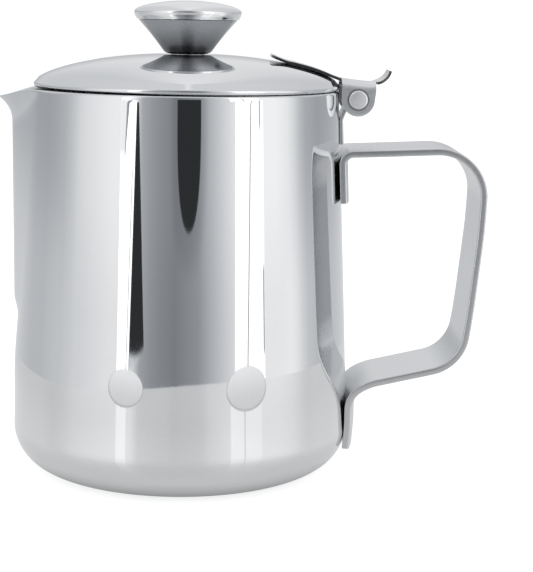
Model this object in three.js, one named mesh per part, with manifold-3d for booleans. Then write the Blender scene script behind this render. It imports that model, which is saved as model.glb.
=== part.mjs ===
// Stainless steel frothing jug with a hinged, knobbed lid. Millimetres, +Z up.
// The origin is the centre of the base, on the jug's axis. The spout points
// along -X, the hinge and the handle along +X.
import * as THREE from 'three';
import { mergeVertices } from 'three/addons/utils/BufferGeometryUtils.js';
import Module from 'manifold-3d';

const wasm = await Module();
wasm.setup();

const DEG = Math.PI / 180;

// ---- main dimensions ----
const BASE_R = 52.5;        // widest radius, just above the base corner
const CORNER_R = 13;        // base corner
const RIM_R = 47.7;         // outside radius at the rim
const RIM_Z = 117.3;        // top of the rim
const WALL = 0.8;           // sheet thickness of the body
const HEM = 1.6;            // thickness of the turned-in hem at the rim
const SPOUT_FOOT_Z = 45;    // where the pressed spout begins
const SPOUT_RIDGE_X = 52.5; // distance of the spout's ridge from the axis
const SPOUT_FLARE = 4.4;    // how much further out the lip reaches
const SPOUT_FLARE_Z = 107;  // where the lip starts to flare
const SPOUT_DROOP = 3.0;    // how far the lip dips below the rim
const NOSE = 0.035;         // rounding of the spout's ridge, radians

const LID_X = 1.24;         // lid and knob axis, towards the hinge
const LID_R = 46.75;        // over the rolled edge
const BEAD_R = 1.15;        // half the width of the rolled edge
const BEAD_H = 1.0;         // half its height
const BEAD_Z = 118.42;
const LID_T = 0.7;
const SEAT_R = 8;           // flat pressed in the dome for the knob
const SEAT_Z = 127.35;
const SCREW_HOLE_R = 2.4;

const STRAP_W = 16;         // hinge strap of the lid
const STRAP_T = 0.8;
const STRAP_BEND_R = 3;     // outside radius of the bend between the strap and its ears
const EAR_R = 5.05;         // round end of an ear, about the pin
const TAB_CORNER_R = 4;
const PIN_X = 53.2;
const PIN_Z = 114.9;
const PIN_R = 1.5;
const HEAD_R = 2.85;        // rivet head
const EAR_HOLE_R = 1.8;

const HANDLE_W = 29;
const HANDLE_T = 2.1;
const BRACKET_W = 13;
const BRACKET_T = 1.0;
const SEAM = 0.1;           // gap left where two pieces are welded or seated

// ---- helpers ----
const group = new THREE.Group();
const steel = new THREE.MeshStandardMaterial({ color: 0xc8cacc, metalness: 1, roughness: 0.25 });

function add(name, geometry) {
  const mesh = new THREE.Mesh(geometry, steel);
  mesh.name = name;
  group.add(mesh);
}

const smooth = (t) => {
  const c = Math.min(1, Math.max(0, t));
  return c * c * (3 - 2 * c);
};

function arc(cx, cz, r, from, to, steps) {
  const points = [];
  for (let i = 0; i <= steps; i++) {
    const a = (from + (to - from) * i / steps) * DEG;
    points.push([cx + r * Math.cos(a), cz + r * Math.sin(a)]);
  }
  return points;
}

function geometryOf(positions, indices) {
  const g = new THREE.BufferGeometry();
  g.setAttribute('position', new THREE.Float32BufferAttribute(positions, 3));
  g.setIndex(indices);
  return g;
}

// turns a closed mesh so that its faces point outwards
function outward(g) {
  const p = g.attributes.position;
  const index = g.index.array;
  const a = new THREE.Vector3();
  const b = new THREE.Vector3();
  const c = new THREE.Vector3();
  let volume = 0;
  for (let i = 0; i < index.length; i += 3) {
    a.fromBufferAttribute(p, index[i]);
    b.fromBufferAttribute(p, index[i + 1]);
    c.fromBufferAttribute(p, index[i + 2]);
    volume += a.dot(b.cross(c));
  }
  if (volume < 0) {
    for (let i = 0; i < index.length; i += 3) {
      [index[i + 1], index[i + 2]] = [index[i + 2], index[i + 1]];
    }
  }
  return g;
}

// a closed loop of [r, z] turned about the vertical through x = cx
function ring(loop, cx, segments) {
  const points = [...loop, loop[0]].map(([r, z]) => new THREE.Vector2(r, z));
  return welded(new THREE.LatheGeometry(points, segments).rotateX(Math.PI / 2).translate(cx, 0, 0));
}

// an open line of [r, z] that starts and ends on the axis
function turned(line, cx, segments) {
  const points = line.map(([r, z]) => new THREE.Vector2(r, z));
  return welded(new THREE.LatheGeometry(points, segments).rotateX(Math.PI / 2).translate(cx, 0, 0));
}

function welded(g) {
  const copy = g.clone();
  copy.deleteAttribute('normal');
  copy.deleteAttribute('uv');
  const merged = mergeVertices(copy, 1e-4);
  const keep = [];
  const index = merged.index.array;
  for (let i = 0; i < index.length; i += 3) {
    const [a, b, c] = [index[i], index[i + 1], index[i + 2]];
    if (a !== b && b !== c && c !== a) keep.push(a, b, c);
  }
  merged.setIndex(keep);
  return outward(merged);
}

function solid(g) {
  const w = welded(g);
  return new wasm.Manifold(new wasm.Mesh({
    numProp: 3,
    vertProperties: new Float32Array(w.attributes.position.array),
    triVerts: new Uint32Array(w.index.array),
  }));
}

function fromSolid(m) {
  const mesh = m.getMesh();
  return geometryOf(Array.from(mesh.vertProperties), Array.from(mesh.triVerts));
}

// an outline in the X-Z plane, extruded from y0 to y1
function plate(outline, y0, y1) {
  const shape = new THREE.Shape(outline.map(([x, z]) => new THREE.Vector2(x, z)));
  const g = new THREE.ExtrudeGeometry(shape, { depth: y1 - y0, bevelEnabled: false, curveSegments: 12 });
  return g.rotateX(Math.PI / 2).translate(0, y1, 0);
}

function rodAlongY(r, x, z, y0, y1, segments) {
  return new THREE.CylinderGeometry(r, r, y1 - y0, segments).translate(x, (y0 + y1) / 2, z);
}

// a polyline in the X-Z plane with every inner corner rounded to its own radius
function filleted(corners, step) {
  const path = [corners[0].slice(0, 2)];
  for (let i = 1; i < corners.length - 1; i++) {
    const [px, pz] = corners[i - 1];
    const [x, z, r] = corners[i];
    const [nx, nz] = corners[i + 1];
    const u = new THREE.Vector2(px - x, pz - z).normalize();
    const v = new THREE.Vector2(nx - x, nz - z).normalize();
    const half = Math.acos(u.dot(v)) / 2;
    const reach = r / Math.tan(half);
    const centre = u.clone().add(v).normalize().multiplyScalar(r / Math.sin(half));
    const a0 = Math.atan2(u.y * reach - centre.y, u.x * reach - centre.x);
    const a1 = Math.atan2(v.y * reach - centre.y, v.x * reach - centre.x);
    let turn = a1 - a0;
    if (turn > Math.PI) turn -= 2 * Math.PI;
    if (turn < -Math.PI) turn += 2 * Math.PI;
    const steps = Math.max(2, Math.ceil(Math.abs(turn) / (step * DEG)));
    for (let k = 0; k <= steps; k++) {
      const a = a0 + turn * k / steps;
      path.push([x + centre.x + r * Math.cos(a), z + centre.y + r * Math.sin(a)]);
    }
  }
  path.push(corners[corners.length - 1].slice(0, 2));
  return path;
}

// a flat strip of metal that follows a path in the X-Z plane; hug(x, z) says how
// far it is pressed round the jug there, from 0 (flat) to 1 (curved like the wall)
function strip(path, width, thickness, hug) {
  const edge = Math.min(0.45, thickness * 0.3);
  const across = [-0.5, -0.3, -0.1, 0.1, 0.3, 0.5].map((k) => k * (width - 2 * edge));
  const section = [
    ...across.map((y) => [y, thickness / 2]),
    [width / 2, thickness / 2 - edge],
    [width / 2, edge - thickness / 2],
    ...across.slice().reverse().map((y) => [y, -thickness / 2]),
    [-width / 2, edge - thickness / 2],
    [-width / 2, thickness / 2 - edge],
  ];
  const positions = [];
  path.forEach(([x, z], i) => {
    const [ax, az] = path[Math.max(0, i - 1)];
    const [bx, bz] = path[Math.min(path.length - 1, i + 1)];
    const t = new THREE.Vector2(bx - ax, bz - az).normalize();
    for (const [y, n] of section) {
      const qx = x - t.y * n;
      const qz = z + t.x * n;
      const fall = qx - Math.sqrt(Math.max(0, qx * qx - y * y));
      positions.push(qx - fall * hug(x, z), y, qz);
    }
  });
  const n = section.length;
  const indices = [];
  for (let i = 0; i < path.length - 1; i++) {
    for (let k = 0; k < n; k++) {
      const a = i * n + k;
      const b = i * n + (k + 1) % n;
      indices.push(a, b, b + n, a, b + n, a + n);
    }
  }
  const last = (path.length - 1) * n;
  for (let k = 1; k < n - 1; k++) {
    indices.push(0, k + 1, k, last, last + k, last + k + 1);
  }
  return outward(geometryOf(positions, indices));
}

// ---- jug body: one drawn shell with a pressed spout and a hemmed rim ----
const wallR = (z) => BASE_R + (RIM_R - BASE_R) * (z - CORNER_R) / (RIM_Z - CORNER_R);

// radius of the outer wall at height z and angle d from the spout's centre line
function shellR(z, d) {
  const base = wallR(z);
  const swell = 0.7 * Math.exp(-(((z - 33) / 12) ** 2) - (d / 0.35) ** 2);
  const lip = SPOUT_FLARE * Math.max(0, (z - SPOUT_FLARE_Z) / (RIM_Z - SPOUT_FLARE_Z)) ** 3.2;
  const reach = (SPOUT_RIDGE_X - base) * smooth((z - SPOUT_FOOT_Z) / 8) + lip;
  if (reach <= 0.02) return base + swell;
  const half = Math.acos(base / (base + reach)) + NOSE;
  const off = Math.hypot(d, NOSE);
  if (off >= half) return base + swell;
  return base / Math.cos(half - off) + swell;
}

function jugBody() {
  const heights = [20, 27, 34, 40, 45, 49, 53, 60, 72, 84, 95, 102, 107, 110, 112, 113.7, 115.2];
  const corner = arc(BASE_R - CORNER_R, CORNER_R, CORNER_R, -90, 0, 8);
  const inner = arc(BASE_R - CORNER_R, CORNER_R, CORNER_R - WALL, 0, -90, 6);
  // [radius on the plain wall, height]
  const line = [[0, 0], [24, 0], ...corner];
  for (const z of heights) line.push([wallR(z), z]);
  for (const a of [0, 36, 72, 108, 144, 180]) {
    const inset = HEM / 2 * (1 - Math.cos(a * DEG));
    const z = RIM_Z - HEM / 2 * (1 - Math.sin(a * DEG));
    line.push([wallR(z) - inset, z]);
  }
  line.push([wallR(115.6) - HEM, 115.6], [wallR(114.6) - WALL, 114.6]);
  for (const z of [112.5, 110, 107, 97, 84, 68, 53, 47, 41, 30]) line.push([wallR(z) - WALL, z]);
  line.push(...inner, [24, WALL], [0, WALL]);

  const angles = [0];
  for (const d of [1.5, 3.5, 6, 9, 12, 15, 18, 21, 24, 27, 30, 33, 36]) angles.push(d, -d);
  for (let d = 42; d <= 180; d += 6) {
    angles.push(d);
    if (d < 180) angles.push(-d);
  }
  angles.sort((a, b) => a - b);

  const positions = [];
  const indices = [];
  const rows = line.length - 2;
  positions.push(0, 0, 0);
  for (let i = 1; i <= rows; i++) {
    const [r, z] = line[i];
    for (const deg of angles) {
      const d = deg * DEG;
      const onWall = smooth((r - 30) / 12);
      const out = onWall * (shellR(z, d) - wallR(z));
      const droop = SPOUT_DROOP * Math.exp(-((d / 0.24) ** 2)) * smooth((z - 95) / 22);
      const rr = r + out;
      positions.push(-rr * Math.cos(d), rr * Math.sin(d), z - droop);
    }
  }
  positions.push(0, 0, WALL);
  const n = angles.length;
  const at = (i, k) => 1 + (i - 1) * n + (k % n);
  for (let k = 0; k < n; k++) {
    indices.push(0, at(1, k), at(1, k + 1));
    for (let i = 1; i < rows; i++) {
      indices.push(at(i, k), at(i + 1, k), at(i + 1, k + 1));
      indices.push(at(i, k), at(i + 1, k + 1), at(i, k + 1));
    }
    indices.push(at(rows, k + 1), at(rows, k), 1 + rows * n);
  }
  return outward(geometryOf(positions, indices));
}
add('jug_body', jugBody());

// ---- handle: one bent strip, its two feet welded to the wall ----
const footX = (z, t) => wallR(Math.max(z, CORNER_R)) + SEAM + t / 2;
const handlePath = filleted([
  [footX(84, HANDLE_T), 84],
  [footX(98.8, HANDLE_T), 98.8, 3.2],
  [92.2, 100.7, 14],
  [91.3, 76, 150],
  [88.75, 50, 150],
  [86.45, 34.2, 13],
  [footX(CORNER_R, HANDLE_T), 26.8, 9],
  [footX(CORNER_R, HANDLE_T), 14, 20],
  [footX(CORNER_R, HANDLE_T) - 0.55, 7.4],
], 9);
const upperHug = (x) => 0.6 * (1 - smooth((x - 52) / 7));
const lowerHug = (x) => 0.9 * (1 - smooth((x - 54) / 6));
add('handle', strip(handlePath, HANDLE_W, HANDLE_T, (x, z) => (z > 60 ? upperHug(x) : lowerHug(x))));

// ---- hinge bracket: a plate on the wall, an arm and an eye round the pin ----
const eye = [];
for (let a = 156; a >= -150; a -= 18) {
  const r = PIN_R + 0.3 + BRACKET_T / 2;
  eye.push([PIN_X + r * Math.cos(a * DEG), PIN_Z + r * Math.sin(a * DEG)]);
}
const bracketPath = [
  ...filleted([
    [footX(101.2, BRACKET_T), 101.2],
    [footX(108.6, BRACKET_T), 108.6, 2.5],
    eye[0],
  ], 12).slice(0, -1),
  ...eye,
];
add('hinge_bracket', strip(bracketPath, BRACKET_W, BRACKET_T, (x) => 1 - smooth((x - 49.4) / 2)));

// ---- lid: a shallow dome with a flat seat for the knob and a rolled edge ----
const domeZ = (r) => 119.2 + 8.6 * Math.max(0, 1 - (r / 46.5) ** 2.2) ** 0.68;

function lidDome() {
  const outer = [[SCREW_HOLE_R, SEAT_Z], [SEAT_R, SEAT_Z]];
  for (const r of [9, 14, 19, 24, 29, 33, 36.5, 39.5, 42, 44, 45.2]) outer.push([r, domeZ(r)]);
  const bead = arc(0, 0, 1, 60, -210, 12)
    .map(([u, v]) => [LID_R - BEAD_R + BEAD_R * u, BEAD_Z + BEAD_H * v]);
  const inner = [];
  for (const r of [44, 42, 39.5, 36, 31, 25, 17, 9.5]) inner.push([r - 0.25, domeZ(r) - LID_T - 0.15]);
  inner.push([SEAT_R, SEAT_Z - LID_T], [SCREW_HOLE_R, SEAT_Z - LID_T]);
  return ring([...outer, ...bead, ...inner], LID_X, 84);
}
add('lid_dome', lidDome());

// ---- lid strap: strip over the lid's edge, two ears for the pin, thumb tab ----
// top of the strap: its free end stands clear of the dome, the middle lies on it
function strapLine() {
  const line = [[26.9, 128.1], [29, 127.2]];
  for (const x of [31.5, 34, 37, 40, 43]) line.push([x, domeZ(x - LID_X) + STRAP_T + 0.17]);
  line.push([45.7, 122.05], [48.6, 121.15], [52.5, 120.6], [56, 120.25], [58.3, 120.25]);
  line.push([60, 120.7], [61.4, 121.65], [62.3, 122.8], [62.7, 123.8]);
  return new THREE.SplineCurve(line.map(([x, z]) => new THREE.Vector2(x, z))).getSpacedPoints(34);
}

function lidStrap() {
  const top = strapLine();
  const under = top.map((p, i) => {
    const a = top[Math.max(0, i - 1)];
    const b = top[Math.min(top.length - 1, i + 1)];
    const t = b.clone().sub(a).normalize();
    return new THREE.Vector2(p.x + t.y * STRAP_T, p.y - t.x * STRAP_T);
  });
  const band = [...top, ...under.slice().reverse()].map((p) => [p.x, p.y]);
  const half = STRAP_W / 2;
  // the strap's cross-section: flat on top, bent down at both sides as far as the bend goes
  const crown = top.filter((p) => p.x > PIN_X - EAR_R + 0.3 && p.x < PIN_X + EAR_R + 0.3);
  const ear = [
    ...crown.map((p) => [p.x, p.y - STRAP_BEND_R]),
    ...arc(PIN_X, PIN_Z, EAR_R, 0, -180, 16),
  ];
  let strap = solid(plate(band, -half, half)).subtract(bendRelief(half)).subtract(tabCorners(half));
  for (const side of [-1, 1]) {
    strap = strap.add(solid(bentSheet(crown, side)));
    const [y0, y1] = side < 0 ? [-half, -half + STRAP_T] : [half - STRAP_T, half];
    strap = strap.add(solid(plate(ear, y0, y1)));
  }
  strap = strap.subtract(solid(rodAlongY(EAR_HOLE_R, PIN_X, PIN_Z, -half - 1, half + 1, 32)));
  return fromSolid(strap);
}

// the quarter-round bend between the strap's top and one ear, along the crown
function bentSheet(crown, side) {
  const positions = [];
  const section = [
    ...arc(0, 0, STRAP_BEND_R, 95, 0, 6),
    [STRAP_BEND_R, -0.3], [STRAP_BEND_R - STRAP_T, -0.3],
    ...arc(0, 0, STRAP_BEND_R - STRAP_T, 0, 95, 6),
  ];
  for (const p of crown) {
    for (const [u, v] of section) {
      positions.push(p.x, side * (STRAP_W / 2 - STRAP_BEND_R + u), p.y - STRAP_BEND_R + v);
    }
  }
  const n = section.length;
  const indices = [];
  for (let i = 0; i < crown.length - 1; i++) {
    for (let k = 0; k < n; k++) {
      const a = i * n + k;
      const b = i * n + (k + 1) % n;
      indices.push(a, b, b + n, a, b + n, a + n);
    }
  }
  // the two ends, as quads between the outer and the inner arc
  const last = (crown.length - 1) * n;
  for (let k = 0; k < n / 2 - 1; k++) {
    const [a, b, c, d] = [k, k + 1, n - 2 - k, n - 1 - k];
    indices.push(b, a, d, b, d, c, last + a, last + b, last + c, last + a, last + c, last + d);
  }
  return outward(geometryOf(positions, indices));
}

// what the flat strap loses at its edges where it is bent down
function bendRelief(half) {
  const from = PIN_X - EAR_R;
  const to = PIN_X + EAR_R + 0.6;
  const inner = half - STRAP_BEND_R;
  const block = (y0, y1) => solid(new THREE.BoxGeometry(to - from, y1 - y0, 20)
    .translate((from + to) / 2, (y0 + y1) / 2, 120));
  return block(-half - 1, -inner).add(block(inner, half + 1));
}

// what rounds the two corners of the thumb tab
function tabCorners(half) {
  const end = 62.9;
  const r = TAB_CORNER_R;
  const cut = (side) => {
    const line = [...arc(end - r, half - r, r, 90, 0, 6), [end + 3, half - r], [end + 3, half + 1]];
    line.push([end - r, half + 1]);
    const shape = new THREE.Shape(line.map(([x, y]) => new THREE.Vector2(x, side * y)));
    const g = new THREE.ExtrudeGeometry(shape, { depth: 12, bevelEnabled: false });
    return solid(g.translate(0, 0, 116));
  };
  return cut(1).add(cut(-1));
}
add('lid_strap', lidStrap());

// ---- hinge pin: a rivet, domed head in front, closed over at the back ----
function hingePin() {
  const face = STRAP_W / 2 + SEAM;
  const profile = [
    [0, -face - 1.1], [1.9, -face - 1], [2.5, -face - 0.75], [HEAD_R, -face - 0.35], [HEAD_R, -face],
    [PIN_R, -face], [PIN_R, face], [2.6, face], [2.5, face + 0.45], [1.7, face + 0.85], [0, face + 1],
  ].map(([r, y]) => new THREE.Vector2(r, y));
  return welded(new THREE.LatheGeometry(profile, 40).translate(PIN_X, 0, PIN_Z));
}
add('hinge_pin', hingePin());

// ---- knob: washer, flared cone, domed cap, insert, screw and lock washer ----
const CONE_Z = 127.75;      // underside of the knob
const CONE_TOP_Z = 137.95;
const CONE_TOP_R = 15.0;

add('knob_washer', ring([
  [2.4, SEAT_Z + 0.05], [5.2, SEAT_Z + 0.05], [5.2, CONE_Z - 0.05], [2.4, CONE_Z - 0.05],
], LID_X, 40));

const WAIST_R = 7.37;       // where the rounded foot meets the straight flare
const WAIST_Z = 128.6;
const coneR = (z) => WAIST_R + (CONE_TOP_R - WAIST_R) * (z - WAIST_Z) / (CONE_TOP_Z - WAIST_Z);
const coneOuter = [[SCREW_HOLE_R, CONE_Z], ...arc(5.6, CONE_Z + 2.25, 2.25, -90, -46, 4)];
const coneInner = [];
for (let k = 0; k <= 5; k++) {
  const z = WAIST_Z + (CONE_TOP_Z - WAIST_Z) * k / 5;
  const belly = 0.25 * Math.sin(Math.PI * k / 5);
  coneOuter.push([coneR(z) - belly, z]);
  if (z > 129) coneInner.unshift([coneR(z) - belly - 0.95, z]);
}
add('knob_cone', ring([...coneOuter, ...coneInner, [6.6, 128.6], [SCREW_HOLE_R, 128.6]], LID_X, 60));

function knobCap() {
  const CAP_R = 16.3;
  const outer = [[0, 143.75], [3, 143.68], [6, 143.45], [9, 143.08], [11.5, 142.6], [13.6, 142.08]];
  outer.push([15.1, 141.5], [15.95, 140.95], [CAP_R, 140.35], [16.2, 139.7], [15.95, 139.0]);
  outer.push([15.6, 138.4], [15.3, 138.08], [13.9, 138.03], [13.8, 138.4]);
  const inner = [[14.9, 138.85], [15.3, 139.5], [15.45, 140.2], [14.9, 140.75], [13.4, 141.3]];
  inner.push([11.3, 141.85], [8.8, 142.35], [5.8, 142.72], [2.9, 142.95], [0, 143.02]);
  return turned([...outer, ...inner], LID_X, 60);
}
add('knob_cap', knobCap());

add('knob_insert', ring([[2.15, 128.7], [5, 128.7], [5, 137.2], [4.4, 137.8], [2.15, 137.8]], LID_X, 32));

const SCREW_TOP = SEAT_Z - LID_T - 0.75;
const UNDER_SEAT = SEAT_Z - LID_T - 0.1;
add('knob_lock_washer', ring([
  [2.2, SCREW_TOP + 0.05], [4.6, SCREW_TOP + 0.05], [4.6, UNDER_SEAT], [2.2, UNDER_SEAT],
], LID_X, 32));

function knobScrew() {
  const line = [[0, SCREW_TOP - 2.4], [2.2, SCREW_TOP - 2.25], [3.6, SCREW_TOP - 1.6]];
  line.push([4.2, SCREW_TOP - 0.5]);
  line.push([4.2, SCREW_TOP], [1.9, SCREW_TOP], [1.9, 134.4], [1.4, 134.9], [0, 134.9]);
  let screw = solid(turned(line, LID_X, 36));
  for (const turn of [0, 90]) {
    const slot = new THREE.BoxGeometry(4.6, 0.9, 1.6).rotateZ(turn * DEG);
    screw = screw.subtract(solid(slot.translate(LID_X, 0, SCREW_TOP - 2.3)));
  }
  return fromSolid(screw);
}
add('knob_screw', knobScrew());

export default group;
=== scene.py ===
import math

import bmesh
import bpy
from mathutils import Matrix, Vector


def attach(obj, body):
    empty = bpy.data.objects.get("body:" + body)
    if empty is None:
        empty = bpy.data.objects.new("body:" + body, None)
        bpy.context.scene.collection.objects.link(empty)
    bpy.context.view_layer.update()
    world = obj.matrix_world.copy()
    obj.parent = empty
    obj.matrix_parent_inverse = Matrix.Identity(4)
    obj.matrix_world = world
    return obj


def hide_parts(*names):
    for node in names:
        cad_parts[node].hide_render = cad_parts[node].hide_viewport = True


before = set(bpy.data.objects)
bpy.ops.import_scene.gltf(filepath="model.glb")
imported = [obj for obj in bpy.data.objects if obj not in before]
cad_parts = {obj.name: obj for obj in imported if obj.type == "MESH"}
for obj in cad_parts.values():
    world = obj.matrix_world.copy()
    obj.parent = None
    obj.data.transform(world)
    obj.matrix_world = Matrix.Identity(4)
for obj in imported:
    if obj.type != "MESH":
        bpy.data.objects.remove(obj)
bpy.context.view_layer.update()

MM = 0.001
SHARP = 32              # edges with a larger angle stay sharp, degrees

# ---- jug ----
BASE_R = 52.5           # widest radius, just above the base corner
CORNER_R = 13.0
RIM_R = 47.7
RIM_Z = 117.3
WALL = 0.8
HEM = 1.6               # thickness of the turned-in hem at the rim
HEM_END_Z = 115.6       # where the hem ends on the inside
HEM_SQUARE = 0.6        # 1 makes the top of the hem round, less makes it squarer
FLOOR_FLAT_R = 30.0     # inside this radius the spout has no effect on the floor
FLOOR_BLEND = 12.0      # it has its full effect this much further out
SPOUT_FOOT_Z = 45.0     # where the pressed spout begins
SPOUT_FOOT_H = 8.0      # height over which it comes out of the wall
SPOUT_RIDGE_X = 52.5    # distance of the spout's ridge from the axis
LEAST_REACH = 0.02      # a spout shallower than this is left out
SPOUT_FLARE = 4.4       # how much further out the lip reaches
SPOUT_FLARE_Z = 107.0   # where the lip begins to reach out
SPOUT_FLARE_POWER = 3.2
SPOUT_DROOP = 3.0       # how far the lip dips below the rim
DROOP_Z = 95.0          # where the dip begins
DROOP_H = 22.0
DROOP_HALF = 0.24       # its half width, radians
NOSE = 0.035            # rounding of the spout's ridge, radians
SWELL = 0.7             # soft bulge of the wall below the spout
SWELL_Z = 33.0
SWELL_HALF_H = 12.0
SWELL_HALF = 0.35       # its half width, radians
JUG_SHARP = 50

# ---- lid ----
LID_X = 1.24            # axis of the lid and the knob, towards the hinge
LID_R = 46.75
BEAD_R = 1.15           # half the width of the rolled edge
BEAD_H = 1.0            # half its height
BEAD_Z = 118.42
LID_T = 0.7
SEAT_R = 8.0            # flat pressed in the dome for the knob
SEAT_Z = 127.35
SCREW_HOLE_R = 2.4
DOME_FOOT_Z = 119.2
DOME_RISE = 8.6
DOME_R = 46.5
DOME_POWERS = (2.2, 0.68)
LID_SEGMENTS = 256

# ---- lid strap and pin ----
STRAP_W = 16.0
STRAP_T = 0.8
STRAP_LIFT = 0.17       # gap between the strap and the dome
BEND_R = 3.0            # outside radius of the bend between the strap and its ears
EAR_R = 5.05            # round end of an ear, about the pin
EAR_EXTRA = 0.35        # how much further the ear's straight part reaches towards the tab
RELIEF = 0.25           # slit between an ear and the flat margin
TAB_END_X = 62.9
TAB_CORNER_R = 4.0
FREE_CORNER_R = 1.5
STRAP_BEVEL = 0.16
STRAP_SHARP = 50
STRAP_MIDDLE = (40, 0, 124)
PIN_X = 53.2
PIN_Z = 114.9
PIN_R = 1.5
HEAD_R = 2.85           # rivet head
HEAD_TOP_R = 2.3        # its slightly domed top, inside the rounded edge
HEAD_H = 1.1
HEAD_CROWN = 0.12
HEAD_EDGE_R = 0.55
TAIL_R = 2.6            # the closed end of the rivet
TAIL_H = 1.0
PIN_SEGMENTS = 64

# ---- handle and bracket ----
HANDLE_W = 29.0
HANDLE_T = 2.1
BRACKET_W = 13.0
BRACKET_T = 1.0
SEAM = 0.1              # gap left where two pieces are welded or seated
HANDLE_EDGE = 0.5       # rounding of the strips' long edges
BRACKET_EDGE = 0.28
EYE_GAP = 0.3           # between the pin and the bracket's eye
WELD_R = 1.6            # weld marks on the ends of the handle
WELD_DEPTH = 0.18
WELD_Y = 6.5
WELD_Z = (90.5, 13.5)
HANDLE_MIDDLE_Z = 60.0
UPPER_HUG = 0.6         # 1 follows the round wall, 0 is flat across
LOWER_HUG = 0.9
STRIP_STEP = 0.9        # spacing of the points across a strip

# ---- knob ----
CONE_Z = 127.75
CONE_TOP_Z = 137.95
CONE_TOP_R = 15.0
CONE_WALL = 0.95
CONE_FLOOR_Z = 128.6    # inside
CONE_HOLLOW = 0.25      # how much the flare's side is curved in
FOOT_R = 2.25           # rounding of the foot
FOOT_FLAT_R = 5.6
WAIST_R = 7.37          # where the rounded foot meets the straight flare
WAIST_Z = 128.6
WASHER_R = 5.2
WASHER_SEGMENTS = 96
KNOB_SEGMENTS = 160

# ---- camera ----
CAMERA_AT = (15.9, -479.7, 141.2)
CAMERA_YAW = 1.26       # degrees, towards +X
CAMERA_PITCH = 10.08    # degrees, downwards
CAMERA_ROLL = 0.92
LENS = 97.6
SENSOR = 36


# ================= helpers: outlines =================
def smooth(t):
    c = min(1.0, max(0.0, t))
    return c * c * (3 - 2 * c)


def steps(start, stop, step):
    """Numbers from start to stop, both included, no further apart than step."""
    count = max(1, math.ceil(abs(stop - start) / step - 1e-9))
    return [start + (stop - start) * i / count for i in range(count + 1)]


def arc(cx, cz, r, start, stop, step):
    """Points of an arc, angles in degrees."""
    angles = [math.radians(a) for a in steps(start, stop, step)]
    return [(cx + r * math.cos(a), cz + r * math.sin(a)) for a in angles]


def refine(points, longest):
    """The same polyline with no stretch longer than longest."""
    out = [points[0]]
    for a, b in zip(points, points[1:]):
        length = math.dist(a, b)
        for t in steps(0.0, 1.0, longest / max(length, longest))[1:]:
            out.append(tuple(p + (q - p) * t for p, q in zip(a, b)))
    return out


def filleted(corners):
    """A polyline in the X-Z plane with each inner corner (x, z, r) rounded to its own radius."""
    step = math.radians(3.0)
    path = [Vector(corners[0][:2])]
    for before, corner, after in zip(corners, corners[1:], corners[2:]):
        at = Vector(corner[:2])
        u = (Vector(before[:2]) - at).normalized()
        v = (Vector(after[:2]) - at).normalized()
        half = math.acos(max(-1.0, min(1.0, u.dot(v)))) / 2
        r = corner[2]
        centre = (u + v).normalized() * (r / math.sin(half))
        first = u * (r / math.tan(half)) - centre
        last = v * (r / math.tan(half)) - centre
        start = math.atan2(first.y, first.x)
        turn = math.atan2(last.y, last.x) - start
        turn = (turn + math.pi) % (2 * math.pi) - math.pi
        for a in steps(0.0, turn, step):
            spoke = Vector((math.cos(start + a), math.sin(start + a)))
            path.append(at + centre + spoke * r)
    path.append(Vector(corners[-1][:2]))
    return [tuple(p) for p in path]


def spline(points, count):
    """Catmull-Rom curve through the points, count stretches between two neighbours."""
    p = [Vector(q) for q in points]
    p = [p[0] * 2 - p[1]] + p + [p[-1] * 2 - p[-2]]
    out = []
    for a, b, c, d in zip(p, p[1:], p[2:], p[3:]):
        for i in range(count):
            t = i / count
            out.append(tuple((
                b * 2 + (c - a) * t + (a * 2 - b * 5 + c * 4 - d) * t * t
                + (b * 3 - a - c * 3 + d) * t * t * t
            ) * 0.5))
    return out + [tuple(p[-2])]


# ================= helpers: meshes =================
def make_piece(name, points, faces, body, replaced, material, sharp=SHARP):
    """An object from points in millimetres that rides on a body and stands for CAD nodes."""
    mesh = bpy.data.meshes.new(name)
    mesh.from_pydata([[c * MM for c in p] for p in points], [], faces)
    bm = bmesh.new()
    bm.from_mesh(mesh)
    bmesh.ops.remove_doubles(bm, verts=bm.verts, dist=1e-7)
    bmesh.ops.recalc_face_normals(bm, faces=bm.faces)
    bm.to_mesh(mesh)
    bm.free()
    mesh.shade_smooth()
    mesh.set_sharp_from_angle(angle=math.radians(sharp))
    piece = bpy.data.objects.new(name, mesh)
    bpy.context.scene.collection.objects.link(piece)
    mesh.materials.append(material)
    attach(piece, body)
    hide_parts(*replaced)
    return piece


def grid_faces(rows, columns, wrap_columns=False, wrap_rows=False):
    """Faces between points that lie in rows, one row after the other."""
    faces = []
    for i in range(rows if wrap_rows else rows - 1):
        for k in range(columns if wrap_columns else columns - 1):
            a = i * columns + k
            b = i * columns + (k + 1) % columns
            c = (i + 1) % rows * columns + (k + 1) % columns
            d = (i + 1) % rows * columns + k
            faces.append((a, b, c, d))
    return faces


def ladder_faces(rows):
    """Faces between neighbouring rows, each a list of point numbers."""
    faces = []
    for left, right in zip(rows, rows[1:]):
        for k in range(len(left) - 1):
            faces.append((left[k], right[k], right[k + 1], left[k + 1]))
    return faces


def turned(profile, segments, closed, place):
    """A profile of (r, h) turned about an axis; place(r, angle, h) gives the point."""
    points = []
    for r, h in profile:
        for k in range(segments):
            points.append(place(r, 2 * math.pi * k / segments, h))
    return points, grid_faces(len(profile), segments, wrap_columns=True, wrap_rows=closed)


def about_lid_axis(r, angle, h):
    return (LID_X + r * math.cos(angle), r * math.sin(angle), h)


def about_pin(r, angle, h):
    return (PIN_X + r * math.cos(angle), h, PIN_Z + r * math.sin(angle))


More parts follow.
